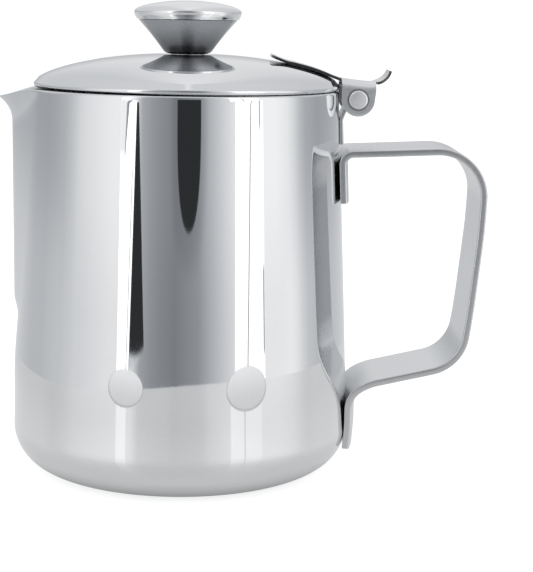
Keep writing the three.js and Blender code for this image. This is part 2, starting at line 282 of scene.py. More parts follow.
def strip(path, width, thickness, edge, hug, dents=()):
    """A strip of metal along a path in the X-Z plane. edge rounds its long edges, hug(x, z) says
    how closely it follows the jug's round wall, and dents are round marks (y, z, radius, depth)
    on its upper side."""
    half_w, half_t = width / 2, thickness / 2
    across = steps(edge - half_w, half_w - edge, STRIP_STEP)
    corners = (
        (half_w, half_t, 90),
        (half_w, -half_t, 0),
        (-half_w, -half_t, -90),
        (-half_w, half_t, 180),
    )
    section = [(y, half_t) for y in across[1:-1]]
    for index, (y, n, start) in enumerate(corners):
        centre = (y - math.copysign(edge, y), n - math.copysign(edge, n))
        section += arc(centre[0], centre[1], edge, start, start - 90, 15.0)
        if index == 1:
            section += [(y, -half_t) for y in reversed(across[1:-1])]
    points = []
    for i, (x, z) in enumerate(path):
        before, after = path[max(0, i - 1)], path[min(len(path) - 1, i + 1)]
        t = (Vector(after) - Vector(before)).normalized()
        for y, n in section:
            depth = sum(
                deep * math.exp(-(((y - at_y) ** 2 + (z - at_z) ** 2) / size ** 2) ** 1.5)
                for at_y, at_z, size, deep in dents
            ) if n > 0 else 0.0
            qx = x - t.y * (n - depth)
            qz = z + t.x * (n - depth)
            fall = qx - math.sqrt(max(0.0, qx * qx - y * y))
            points.append((qx - fall * hug(x, z), y, qz))
    count = len(section)
    faces = grid_faces(len(path), count, wrap_columns=True)
    faces.append(tuple(range(count)))
    faces.append(tuple(range((len(path) - 1) * count, len(path) * count)))
    return points, faces


def apply_modifiers(piece):
    """Replaces the piece's mesh by its evaluated one."""
    graph = bpy.context.evaluated_depsgraph_get()
    mesh = bpy.data.meshes.new_from_object(piece.evaluated_get(graph))
    piece.modifiers.clear()
    piece.data = mesh
    mesh.shade_smooth()
    mesh.set_sharp_from_angle(angle=math.radians(SHARP))


# ================= helpers: nodes =================
def put(tree, value, socket):
    """Sets a socket to a number or colour, or links it to another socket."""
    if isinstance(value, bpy.types.NodeSocket):
        tree.links.new(value, socket)
    else:
        socket.default_value = value


def math_node(tree, operation, a, b=0.0):
    node = tree.nodes.new("ShaderNodeMath")
    node.operation = operation
    put(tree, a, node.inputs[0])
    put(tree, b, node.inputs[1])
    return node.outputs[0]


def ease(tree, value, start, stop, low=0.0, high=1.0):
    """Goes smoothly from low, where value is start, to high, where it is stop."""
    node = tree.nodes.new("ShaderNodeMapRange")
    node.interpolation_type = "SMOOTHSTEP"
    for socket, number in zip(node.inputs, (value, start, stop, low, high)):
        put(tree, number, socket)
    return node.outputs["Result"]


def blend(tree, factor, a, b):
    node = tree.nodes.new("ShaderNodeMix")
    node.data_type = "FLOAT"
    put(tree, factor, node.inputs["Factor"])
    put(tree, a, node.inputs["A"])
    put(tree, b, node.inputs["B"])
    return node.outputs["Result"]


def blend_colour(tree, factor, a, b):
    node = tree.nodes.new("ShaderNodeMix")
    node.data_type = "RGBA"
    put(tree, factor, node.inputs[0])
    put(tree, a, node.inputs[6])
    put(tree, b, node.inputs[7])
    return node.outputs[2]


def separate(tree, vector):
    """The X, Y and Z outputs of a vector."""
    node = tree.nodes.new("ShaderNodeSeparateXYZ")
    tree.links.new(vector, node.inputs[0])
    return node.outputs


def coordinates(tree, kind):
    return tree.nodes.new("ShaderNodeTexCoord").outputs[kind]


def noise(tree, where, scale, detail, roughness=0.5, stretch=(1, 1, 1)):
    mapping = tree.nodes.new("ShaderNodeMapping")
    mapping.inputs["Scale"].default_value = stretch
    tree.links.new(where, mapping.inputs["Vector"])
    node = tree.nodes.new("ShaderNodeTexNoise")
    node.inputs["Scale"].default_value = scale
    node.inputs["Detail"].default_value = detail
    node.inputs["Roughness"].default_value = roughness
    tree.links.new(mapping.outputs["Vector"], node.inputs["Vector"])
    return node.outputs["Fac"]


# ================= materials =================
BROAD_GRAIN = 35.0      # noise scales, per metre
FINE_GRAIN = 900.0
GRAIN_RANGE = (0.3, 0.7)
NO_STRETCH = (1, 1, 1)
INNER_METALLIC = 0.55
# Soft steps: value from and to, brightness factor before and after.
NARROW_SIDE_SHADE = (0.75, 0.95, 1.0, 0.84)           # sideways part of the normal; painted shade on the narrow sides
# painted shade on the knob's flare, by height
FLARE_SHADE = (0.1280, 0.1375, 0.30, 1.0)
RIVET_SHADOW_RING = (0.0030, 0.0036, 0.35, 1.0)        # distance from the pin; painted shadow round the rivet's head
# The same for the painted shade on the strap's sheared edges, where 1 is sheared and 0 is not.
SHEARED_SIDE = (0.55, 0.8)                      # sideways part of the normal
SHEARED_HEIGHT = (0.1188, 0.1194)
SHEARED_OFF_EAR = (0.0050, 0.0056)              # distance from the middle of the ear
SHEARED_EDGE_SHADE = 0.88
EAR_MIDDLE_X = PIN_X * MM + 0.0002


def steel(name, light, dark, rough_low, rough_high, grain, stretch, bump, darker=None):
    """Bare stainless steel: grain is the noise scale per metre, stretch its direction, and
    darker a function from the tree and the object coordinates to a brightness factor: painted
    shade."""
    material = bpy.data.materials.new(name)
    material.use_nodes = True
    tree = material.node_tree
    shader = tree.nodes["Principled BSDF"]
    shader.inputs["Metallic"].default_value = 1.0
    where = coordinates(tree, "Object")
    broad = noise(tree, where, BROAD_GRAIN, 2.0)
    fine = noise(tree, where, grain, 4.0, 0.6, stretch)
    mixed = blend(tree, 0.5, broad, fine)
    colour = blend_colour(tree, ease(tree, mixed, *GRAIN_RANGE), dark, light)
    if darker:
        colour = blend_colour(tree, darker(tree, where), (0.0, 0.0, 0.0, 1), colour)
    put(tree, colour, shader.inputs["Base Color"])
    rough = ease(tree, mixed, *GRAIN_RANGE, rough_low, rough_high)
    put(tree, rough, shader.inputs["Roughness"])
    normal = tree.nodes.new("ShaderNodeBump")
    normal.inputs["Strength"].default_value = 1.0
    normal.inputs["Distance"].default_value = bump
    tree.links.new(fine, normal.inputs["Height"])
    tree.links.new(normal.outputs["Normal"], shader.inputs["Normal"])
    return material


def sideways(tree):
    """How much the surface faces +Y or -Y, 0 to 1."""
    facing = separate(tree, coordinates(tree, "Normal"))
    return math_node(tree, "ABSOLUTE", facing["Y"])


def shade_narrow_sides(tree, _where):
    """Painted shade: the narrow sides of the handle and the bracket are painted darker than their
    broad faces.
    """
    return ease(tree, sideways(tree), *NARROW_SIDE_SHADE)


def shade_towards_foot(tree, where):
    """Painted shade: the flare of the knob is painted darkest at its foot."""
    return ease(tree, separate(tree, where)["Z"], *FLARE_SHADE)


def shade_cut_edges(tree, where):
    """Painted shade: the strap's sheared edges, in front of and behind its ears, are painted dark.
    So is a thin ring round the rivet's head, a painted shadow."""
    at = separate(tree, where)
    from_ear = math_node(tree, "ABSOLUTE", math_node(tree, "SUBTRACT", at["X"], EAR_MIDDLE_X))
    high = ease(tree, at["Z"], *SHEARED_HEIGHT)
    high_off_ear = math_node(tree, "MULTIPLY", high, ease(tree, from_ear, *SHEARED_OFF_EAR))
    edge = math_node(tree, "MULTIPLY", ease(tree, sideways(tree), *SHEARED_SIDE), high_off_ear)
    plain = math_node(tree, "SUBTRACT", 1.0, math_node(tree, "MULTIPLY", edge, SHEARED_EDGE_SHADE))
    from_pin = [
        math_node(tree, "POWER", math_node(tree, "SUBTRACT", at[axis], centre * MM), 2.0)
        for axis, centre in (("X", PIN_X), ("Z", PIN_Z))
    ]
    reach = math_node(tree, "SQRT", math_node(tree, "ADD", *from_pin))
    return math_node(tree, "MULTIPLY", plain, ease(tree, reach, *RIVET_SHADOW_RING))


mirror_steel = steel(
    "mirror_steel", (0.792, 0.800, 0.812, 1), (0.772, 0.782, 0.796, 1), 0.012, 0.035,
    FINE_GRAIN, NO_STRETCH, 0.0000004)
# The inside of the jug is brushed, so it is duller and hardly mirrors anything.
inner_steel = steel(
    "inner_steel", (0.860, 0.866, 0.874, 1), (0.830, 0.838, 0.848, 1), 0.38, 0.50,
    FINE_GRAIN, (1, 1, 0.1), 0.000001)
inner_steel.node_tree.nodes["Principled BSDF"].inputs["Metallic"].default_value = INNER_METALLIC
satin_steel = steel(
    "satin_steel", (0.770, 0.778, 0.788, 1), (0.735, 0.745, 0.757, 1), 0.26, 0.34,
    700.0, NO_STRETCH, 0.0000004, darker=shade_narrow_sides)
knob_steel = steel(
    "knob_steel", (0.840, 0.845, 0.852, 1), (0.800, 0.807, 0.815, 1), 0.08, 0.13,
    1200.0, (1, 1, 6), 0.000001)
# The flare's steel is painted darker than the cap's: painted reflection of the dark table under it,
# with painted shade towards its foot.
shaded_cone_steel = steel(
    "shaded_cone_steel", (0.480, 0.492, 0.505, 1), (0.420, 0.432, 0.445, 1), 0.20, 0.28,
    1200.0, (1, 1, 6), 0.000002, darker=shade_towards_foot)
strap_steel = steel(
    "strap_steel", (0.840, 0.846, 0.856, 1), (0.800, 0.808, 0.820, 1), 0.30, 0.36,
    FINE_GRAIN, NO_STRETCH, 0.000001, darker=shade_cut_edges)
rivet_steel = steel(
    "rivet_steel", (0.960, 0.962, 0.966, 1), (0.870, 0.876, 0.884, 1), 0.40, 0.50,
    1500.0, NO_STRETCH, 0.000001)


# ================= jug body =================
def wall_r(z):
    return BASE_R + (RIM_R - BASE_R) * (z - CORNER_R) / (RIM_Z - CORNER_R)


def shell_r(z, d):
    """Radius of the outer wall at height z and angle d from the spout's centre line."""
    base = wall_r(z)
    swell = SWELL * math.exp(-(((z - SWELL_Z) / SWELL_HALF_H) ** 2) - (d / SWELL_HALF) ** 2)
    flare = max(0.0, (z - SPOUT_FLARE_Z) / (RIM_Z - SPOUT_FLARE_Z)) ** SPOUT_FLARE_POWER
    lip = SPOUT_FLARE * flare
    reach = (SPOUT_RIDGE_X - base) * smooth((z - SPOUT_FOOT_Z) / SPOUT_FOOT_H) + lip
    if reach <= LEAST_REACH:
        return base + swell
    half = math.acos(base / (base + reach)) + NOSE
    off = math.hypot(d, NOSE)
    if off >= half:
        return base + swell
    return base / math.cos(half - off) + swell


def jug_profile():
    """(radius on the plain wall, height) from the middle of the base, up and back inside."""
    floor_r = BASE_R - CORNER_R
    line = [(r, 0.0) for r in steps(0.0, floor_r, 6.0)]
    line += arc(floor_r, CORNER_R, CORNER_R, -90, 0, 3.0)[1:]
    line += [(wall_r(z), z) for z in steps(CORNER_R, RIM_Z - HEM / 2, 1.25)[1:]]
    for a in steps(0.0, 180.0, 18.0)[1:]:
        outwards = math.copysign(abs(math.cos(math.radians(a))) ** HEM_SQUARE, 90 - a)
        upwards = math.sin(math.radians(a)) ** HEM_SQUARE
        z = RIM_Z - HEM / 2 * (1 - upwards)
        line.append((wall_r(z) - HEM / 2 * (1 - outwards), z))
    line.append((wall_r(HEM_END_Z) - HEM, HEM_END_Z))
    line += [(wall_r(z) - WALL, z) for z in steps(HEM_END_Z - 1.0, CORNER_R, 1.6)]
    line += arc(floor_r, CORNER_R, CORNER_R - WALL, 0, -90, 4.0)[1:]
    line += [(r, WALL) for r in steps(floor_r, 0.0, 6.0)[1:]]
    return line


def jug_angles():
    """Angles from the spout's centre line: close together on the spout, wider elsewhere."""
    half = steps(0.0, 8.0, 0.5) + steps(8.0, 40.0, 1.0)[1:] + steps(40.0, 180.0, 2.0)[1:]
    return [math.radians(-a) for a in reversed(half[1:-1])] + [math.radians(a) for a in half]


def make_jug():
    angles = jug_angles()
    points = []
    profile = jug_profile()
    for r, z in profile:
        on_wall = smooth((r - FLOOR_FLAT_R) / FLOOR_BLEND)
        low_lip = SPOUT_DROOP * smooth((z - DROOP_Z) / DROOP_H)
        for d in angles:
            rr = r + on_wall * (shell_r(z, d) - wall_r(z))
            droop = low_lip * math.exp(-((d / DROOP_HALF) ** 2))
            points.append((-rr * math.cos(d), rr * math.sin(d), z - droop))
    faces = grid_faces(len(profile), len(angles), wrap_columns=True)
    jug = make_piece(
        "jug_shell", points, faces, "jug", ["jug_body"], mirror_steel, JUG_SHARP)
    jug.data.materials.append(inner_steel)
    for face in jug.data.polygons:
        inwards = face.normal.x * face.center.x + face.normal.y * face.center.y < 0
        on_floor = face.normal.z > 0.5 and face.center.z < 3 * MM
        if inwards or on_floor:
            face.material_index = 1


# ================= handle and hinge bracket =================
def foot_x(z, thickness):
    """Middle of a strip of this thickness that lies on the wall at height z."""
    return wall_r(max(z, CORNER_R)) + SEAM + thickness / 2


def handle_hug(x, z):
    """Both ends of the handle are pressed to the wall, the lower one more closely."""
    if z > HANDLE_MIDDLE_Z:
        return UPPER_HUG * (1 - smooth((x - 52) / 7))
    return LOWER_HUG * (1 - smooth((x - 54) / 6))


def make_handle():
    low_x = foot_x(CORNER_R, HANDLE_T)
    corners = [
        (foot_x(84, HANDLE_T), 84),
        (foot_x(98.8, HANDLE_T), 98.8, 3.2),
        (92.2, 100.7, 14),
        (91.3, 76, 150),
        (88.75, 50, 150),
        (86.45, 34.2, 13),
        (low_x, 26.8, 9),
        (low_x, 14, 20),
        (low_x - 0.55, 7.4),
    ]
    path = refine(filleted(corners), 0.8)
    welds = [(y, z, WELD_R, WELD_DEPTH) for z in WELD_Z for y in (-WELD_Y, WELD_Y)]
    points, faces = strip(path, HANDLE_W, HANDLE_T, HANDLE_EDGE, handle_hug, welds)
    make_piece("handle_strip", points, faces, "jug", ["handle"], satin_steel)


def bracket_hug(x, _z):
    """The bracket's plate follows the wall, its arm is flat across."""
    return 1 - smooth((x - 49.4) / 2)


def make_bracket():
    eye = arc(PIN_X, PIN_Z, PIN_R + EYE_GAP + BRACKET_T / 2, 156, -150, 6.0)
    corners = [
        (foot_x(101.2, BRACKET_T), 101.2),
        (foot_x(108.6, BRACKET_T), 108.6, 2.5),
        eye[0],
    ]
    path = refine(filleted(corners)[:-1], 0.6) + eye
    points, faces = strip(path, BRACKET_W, BRACKET_T, BRACKET_EDGE, bracket_hug)
    make_piece(
        "bracket_plate", points, faces, "jug", ["hinge_bracket"], satin_steel)


# ================= lid =================
def dome_z(r):
    """Height of the dome's upper side at radius r."""
    inner_power, outer_power = DOME_POWERS
    return DOME_FOOT_Z + DOME_RISE * max(0.0, 1 - (r / DOME_R) ** inner_power) ** outer_power


def make_lid():
    outer = [(SCREW_HOLE_R, SEAT_Z), (5.0, SEAT_Z), (SEAT_R - 0.4, SEAT_Z), (SEAT_R, SEAT_Z)]
    outer += [(r, dome_z(r)) for r in steps(SEAT_R + 1, 45.2, 0.8)]
    bead = [
        (LID_R - BEAD_R + BEAD_R * u, BEAD_Z + BEAD_H * v)
        for u, v in arc(0, 0, 1, 60, -210, 9.0)
    ]
    inner = [(r - 0.25, dome_z(r) - LID_T - 0.15) for r in steps(44.0, 9.5, 1.5)]
    inner += [(SEAT_R, SEAT_Z - LID_T), (SCREW_HOLE_R, SEAT_Z - LID_T)]
    points, faces = turned(outer + bead + inner, LID_SEGMENTS, True, about_lid_axis)
    make_piece("lid_shell", points, faces, "lid", ["lid_dome"], mirror_steel)


def strap_line():
    """Top of the strap: its free end stands clear of the dome, the middle lies on it."""
    line = [(26.9, 128.1), (29.0, 127.2)]
    lying = STRAP_T + STRAP_LIFT
    line += [(x, dome_z(x - LID_X) + lying) for x in (31.5, 34.0, 37.0, 40.0, 43.0)]
    line += [(45.7, 122.05), (48.6, 121.15), (52.5, 120.6), (56.0, 120.25), (58.3, 120.25)]
    line += [(60.0, 120.7), (61.4, 121.65), (62.3, 122.8), (62.7, 123.8)]
    return spline(line, 8)


def strap_sheet():
    """Points and faces of the strap's outer side: a flat middle, and on each side the flat
    margins and the ear that is bent down between them."""
    line = strap_line()

    def top_z(x):
        for (ax, az), (bx, bz) in zip(line, line[1:]):
            if x <= bx:
                return az + (bz - az) * (x - ax) / (bx - ax)
        return line[-1][1]

    half = STRAP_W / 2
    flat = half - BEND_R
    across = steps(-flat, flat, 1.0)
    ear_from, ear_to = PIN_X - EAR_R, PIN_X + EAR_R + EAR_EXTRA
    before = [x for x, _ in line if x < ear_from - RELIEF - 0.3] + [ear_from - RELIEF]
    after = [ear_to + RELIEF] + [x for x, _ in line if x > ear_to + RELIEF + 0.2]
    on_ear = steps(ear_from, ear_to, 0.4)
    stations = before + on_ear + after

    def edge_y(x):
        """Half the strap's width: the free corners are rounded, the thumb tab's more so."""
        y = half
        ends = ((TAB_END_X, TAB_CORNER_R, 1), (line[0][0] - 0.02, FREE_CORNER_R, -1))
        for end, r, away in ends:
            into = (x - end) * away + r
            if into > 0:
                y = min(y, half - r + math.sqrt(max(0.0, r * r - into * into)))
        return y

    points = [(x, y, top_z(x)) for x in stations for y in across]
    faces = grid_faces(len(stations), len(across))

    for side in (-1, 1):
        inner = 0 if side < 0 else len(across) - 1
        # the flat margins in front of and behind the ear
        for first, xs in ((0, before), (len(before) + len(on_ear), after)):
            rows = []
            for i, x in enumerate(xs):
                column = [(first + i) * len(across) + inner]
                for t in steps(0.0, 1.0, 1 / 3)[1:]:
                    column.append(len(points))
                    points.append((x, side * (flat + (edge_y(x) - flat) * t), top_z(x)))
                rows.append(column)
            faces += ladder_faces(rows)
        # the bend and the ear
        rows = []
        for i, x in enumerate(on_ear):
            top = top_z(x)
            column = [(len(before) + i) * len(across) + inner]
            for a in steps(90.0, 0.0, 9.0)[1:]:
                y = flat + BEND_R * math.cos(math.radians(a))
                z = top - BEND_R + BEND_R * math.sin(math.radians(a))
                column.append(len(points))
                points.append((x, side * y, z))
            bottom = math.radians(-180 + 180 * i / (len(on_ear) - 1))
            low_x = PIN_X + EAR_R * math.cos(bottom)
            low_z = PIN_Z + EAR_R * math.sin(bottom)
            for t in steps(0.0, 1.0, 0.125)[1:]:
                column.append(len(points))
                z = top - BEND_R + (low_z - top + BEND_R) * t
                points.append((x + (low_x - x) * t, side * half, z))
            rows.append(column)
        faces += ladder_faces(rows)
    return points, faces


def make_strap():
    """The sheet gets its normals turned outwards, then its thickness and rounded edges."""
    points, faces = strap_sheet()
    strap = make_piece(
        "strap_sheet", points, faces, "lid", ["lid_strap"], strap_steel)
    bm = bmesh.new()
    bm.from_mesh(strap.data)
    on_top = Vector(STRAP_MIDDLE) * MM
    middle = min(bm.faces, key=lambda f: (f.calc_center_median() - on_top).length)
    if middle.normal.z < 0:
        bmesh.ops.reverse_faces(bm, faces=bm.faces)
    bm.to_mesh(strap.data)
    bm.free()
    thick = strap.modifiers.new("thickness", "SOLIDIFY")
    thick.thickness = STRAP_T * MM
    thick.offset = -1
    thick.use_even_offset = True
    bevel = strap.modifiers.new("edges", "BEVEL")
    bevel.width = STRAP_BEVEL * MM
    bevel.segments = 3
    bevel.limit_method = "ANGLE"
    bevel.angle_limit = math.radians(STRAP_SHARP)
    apply_modifiers(strap)


def make_rivet():
    """Profile from the middle of the head along the shank to the middle of the closed end."""
    face = STRAP_W / 2 + SEAM
    head = [
        (r, -face - HEAD_H + HEAD_CROWN * (r / HEAD_TOP_R) ** 2)
        for r in steps(0.0, HEAD_TOP_R, HEAD_TOP_R / 10)
    ]
    head += arc(HEAD_TOP_R, -face - 0.43, HEAD_EDGE_R, -90, 0, 12.0) + [(HEAD_R, -face)]
    tail = [(TAIL_R - 0.1, face), (TAIL_R, face + 0.08)]
    tail += [
        (r, face + TAIL_H - 0.8 * (r / TAIL_R) ** 2.4)
        for r in steps(2.52, 0.0, 0.252)
    ]
    profile = head + [(PIN_R, -face), (PIN_R, face)] + tail
    points, faces = turned(profile, PIN_SEGMENTS, False, about_pin)
    make_piece("rivet", points, faces, "lid", ["hinge_pin"], rivet_steel)


# ================= knob =================
def make_washer():
    low, high = SEAT_Z + 0.05, CONE_Z - 0.05
    bevel = 0.05
    loop = [
        (SCREW_HOLE_R, low),
        (WASHER_R - bevel, low),
        (WASHER_R, low + bevel),
        (WASHER_R, high - bevel),
        (WASHER_R - bevel, high),
        (SCREW_HOLE_R, high),
    ]
    points, faces = turned(loop, WASHER_SEGMENTS, True, about_lid_axis)
    make_piece("washer", points, faces, "lid", ["knob_washer"], rivet_steel)


def flare_r(z):
    """Radius of the flare, which runs from the waist to the cap and is slightly curved in."""
    up = (z - WAIST_Z) / (CONE_TOP_Z - WAIST_Z)
    return WAIST_R + (CONE_TOP_R - WAIST_R) * up - CONE_HOLLOW * math.sin(math.pi * up)


def make_cone():
    outer = [(SCREW_HOLE_R, CONE_Z), (4.0, CONE_Z), (5.3, CONE_Z)]
    outer += arc(FOOT_FLAT_R, CONE_Z + FOOT_R, FOOT_R, -90, -42, 4.0)
    outer += [(flare_r(z), z) for z in steps(WAIST_Z, CONE_TOP_Z, 0.4)]
    inner = [(flare_r(z) - CONE_WALL, z) for z in steps(CONE_TOP_Z, 129.4, 0.8)]
    inner += [(6.6, CONE_FLOOR_Z), (SCREW_HOLE_R, CONE_FLOOR_Z)]
    points, faces = turned(outer + inner, KNOB_SEGMENTS, True, about_lid_axis)
    make_piece("knob_flare", points, faces, "lid", ["knob_cone"], shaded_cone_steel)


def make_cap():
    """A thin domed cap: over the top, round the lip that grips the flare, and back inside."""
    crown = spline([
        (0, 143.75), (3, 143.68), (6, 143.45), (9, 143.08), (11.5, 142.6), (13.6, 142.08),
        (15.1, 141.5), (15.95, 140.95), (16.3, 140.35), (16.2, 139.7), (15.95, 139.0),
        (15.6, 138.4),
    ], 5)
    lip = spline([(15.6, 138.4), (15.3, 138.08), (13.9, 138.03), (13.8, 138.4)], 3)[1:]
    inner = spline([
        (14.9, 138.85), (15.3, 139.5), (15.45, 140.2), (14.9, 140.75), (13.4, 141.3),
        (11.3, 141.85), (8.8, 142.35), (5.8, 142.72), (2.9, 142.95), (0, 143.02),
    ], 2)
    points, faces = turned(crown + lip + inner, KNOB_SEGMENTS, False, about_lid_axis)
    make_piece("knob_crown", points, faces, "lid", ["knob_cap"], knob_steel)


make_jug()
make_handle()
make_bracket()
make_lid()
make_strap()
make_rivet()
make_washer()
make_cone()
make_cap()
# The hidden fixings of the knob are shown as they are in the CAD model.
for node in ("knob_insert", "knob_lock_washer", "knob_screw"):
    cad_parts[node].data.materials.clear()
    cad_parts[node].data.materials.append(rivet_steel)


# ================= studio =================
# Brightness of the studio walls round the horizon, by degrees from -Y towards +X.
WALLS = (
    (-180, 0.58), (-150, 0.52), (-126, 0.45), (-110, 0.45), (-100, 0.49), (-90, 0.57), (-82, 0.70),
    (-76, 0.83), (-70, 0.90), (-60, 0.97), (-47, 1.05), (-33, 1.05), (-27, 0.50), (-20, 0.40),
    (-13, 0.34), (-3, 0.29), (13, 0.40), (20, 0.56), (29, 0.76), (38, 0.95), (57, 1.10), (71, 1.10),
    (82, 0.98), (88, 0.83), (94, 0.64), (100, 0.52), (115, 0.44), (150, 0.52), (180, 0.58),
)
# Lamps and flags: azimuth of the left side, how far it leans per degree of elevation, the same for
# the right side, elevation from and to, rise of the lower end per degree of azimuth, brightness.
PANELS = (
    (-42.5, 0.0, -31.7, 0.33, -80.0, 3.5, 0.0, 1.8),        # left lamp
    (-42.5, 0.0, -35.5, 0.0, 3.5, 40.0, 0.0, 1.55),
    (-42.5, 0.0, -38.4, 0.65, -0.4, 3.5, 0.0, 1.08),
    (-39.2, 0.65, -38.5, 1.43, -0.6, 3.5, 0.0, 0.38),       # struts in front of it
    (-33.6, 0.33, -33.0, 0.33, -80.0, -0.8, 0.0, 0.55),
    (-31.5, 0.33, -28.4, -0.64, -7.9, 3.5, 0.082, 0.035),   # black flag beside it
    (-33.9, 0.0, -25.0, 0.0, -8.25, -7.65, 0.082, 0.75),
    (38.9, 0.1, 60.4, 0.0, -80.0, 3.5, 0.0, 1.5),           # right lamp
    (35.0, 0.0, 57.4, 0.0, 3.5, 40.0, 0.0, 1.35),
    (49.9, 0.35, 50.6, 0.35, -8.5, 3.5, 0.0, 0.35),
    (44.6, 0.0, 45.4, 0.0, 3.5, 40.0, 0.0, 0.55),
    (57.0, 0.0, 58.2, 0.0, 0.3, 3.5, 0.0, 0.60),
    (59.4, 0.0, 60.2, 0.0, -8.0, -4.8, 0.0, 0.30),
)
PANEL_EDGE = 0.18       # softness of a panel's sides and ends, degrees
# The dark opening in front, where the camera stands: azimuth of its centre, half width, elevation
# where its lower end begins to narrow and where it closes, all in degrees.
OPENING = (6.1, 8.3, 2.0, -2.9)
OPENING_TIP = 3.2       # 2 makes the lower end an ellipse, more makes it fuller
OPENING_LIGHT = 0.035
# Soft steps: value from and to, result before and after. In the first two the value is 1 on the
# opening's outline and grows outwards.
OPENING_INSIDE = (0.93, 1.07, 1.0, 0.0)
OPENING_SHADE = (1.0, 3.2, 0.80, 1.0)       # the wall round the opening is darker
OPENING_TOP = (5.0, 6.0, 1.0, 0.0)          # by elevation
FLANK_CHANGE = (68.0, 104.0, -0.10, 0.34)   # by azimuth: darker in front, lighter at the sides
LOW_WALL = (-1.0, -7.5)                     # elevations between which that change sets in
TABLE_GLEAM = (-9.4, -7.8, 0.55, 0.0)       # least light from below
BEHIND = (50.0, 110.0)                      # azimuths between front and back
# Elevation where the walls give way to the white ceiling, in front and behind.
CEILING_FRONT = (46.0, 64.0)
CEILING_BACK = (3.0, 16.0)
CEILING_LIGHT = (20.0, 70.0, 0.70, 0.78)    # by elevation
CEILING_BACK_LIGHT = (162.0, 178.0, 1.0, 1.20)      # factor, by azimuth
COOL, WHITE = (0.88, 0.93, 1.0, 1), (1.0, 1.0, 1.0, 1)


def wall_light(tree, azimuth, turned_away, elevation):
    """Brightness of the walls."""
    ramp = tree.nodes.new("ShaderNodeValToRGB")
    ramp.color_ramp.interpolation = "LINEAR"
    turn = math_node(tree, "ADD", math_node(tree, "MULTIPLY", azimuth, 1 / 360), 0.5)
    put(tree, turn, ramp.inputs[0])
    brightest = 1.2
    stops = ramp.color_ramp.elements
    while len(stops) > 1:
        stops.remove(stops[-1])
    for i, (angle, value) in enumerate(WALLS):
        at = angle / 360 + 0.5
        stop = stops[0] if i == 0 else stops.new(at)
        stop.position = at
        stop.color = (value / brightest,) * 3 + (1,)
    light = math_node(tree, "MULTIPLY", ramp.outputs[0], brightest)
    change = math_node(
        tree, "MULTIPLY", ease(tree, turned_away, *FLANK_CHANGE), ease(tree, elevation, *LOW_WALL))
    light = math_node(tree, "MULTIPLY", light, math_node(tree, "ADD", change, 1.0))
    return math_node(tree, "MAXIMUM", light, ease(tree, elevation, *TABLE_GLEAM))


def with_panel(tree, light, azimuth, elevation, panel):
    left, lean_left, right, lean_right, low, high, rise, value = panel
    past_left = math_node(
        tree, "SUBTRACT", azimuth, math_node(tree, "MULTIPLY", elevation, lean_left))
    past_right = math_node(
        tree, "SUBTRACT", azimuth, math_node(tree, "MULTIPLY", elevation, lean_right))
    above = math_node(tree, "SUBTRACT", elevation, math_node(
        tree, "MULTIPLY", math_node(tree, "SUBTRACT", azimuth, left), rise))
    sides = math_node(
        tree, "MULTIPLY",
        ease(tree, past_left, left - PANEL_EDGE, left + PANEL_EDGE),
        ease(tree, past_right, right - PANEL_EDGE, right + PANEL_EDGE, 1.0, 0.0))
    ends = math_node(
        tree, "MULTIPLY",
        ease(tree, above, low - PANEL_EDGE, low + PANEL_EDGE),
        ease(tree, elevation, high - PANEL_EDGE, high + PANEL_EDGE, 1.0, 0.0))
    return blend(tree, math_node(tree, "MULTIPLY", sides, ends), light, value)


def with_opening(tree, light, azimuth, elevation):
    centre, half, narrows, closes = OPENING
    across = math_node(
        tree, "MULTIPLY", math_node(tree, "SUBTRACT", azimuth, centre), 1 / half)
    across = math_node(tree, "POWER", math_node(tree, "ABSOLUTE", across), 2.0)
    down = math_node(
        tree, "MULTIPLY", math_node(tree, "SUBTRACT", elevation, narrows), 1 / (closes - narrows))
    down = math_node(tree, "POWER", math_node(tree, "MAXIMUM", down, 0.0), OPENING_TIP)
    outside = math_node(tree, "ADD", across, down)
    light = math_node(tree, "MULTIPLY", light, ease(tree, outside, *OPENING_SHADE))
    inside = math_node(
        tree, "MULTIPLY", ease(tree, outside, *OPENING_INSIDE), ease(tree, elevation, *OPENING_TOP))
    return blend(tree, inside, light, OPENING_LIGHT)


def with_ceiling(tree, light, turned_away, elevation):
    behind = ease(tree, turned_away, *BEHIND)
    begins = blend(tree, behind, CEILING_FRONT[0], CEILING_BACK[0])
    full = blend(tree, behind, CEILING_FRONT[1], CEILING_BACK[1])
    ceiling = math_node(
        tree, "MULTIPLY",
        ease(tree, elevation, *CEILING_LIGHT), ease(tree, turned_away, *CEILING_BACK_LIGHT))
    return blend(tree, ease(tree, elevation, begins, full), light, ceiling)


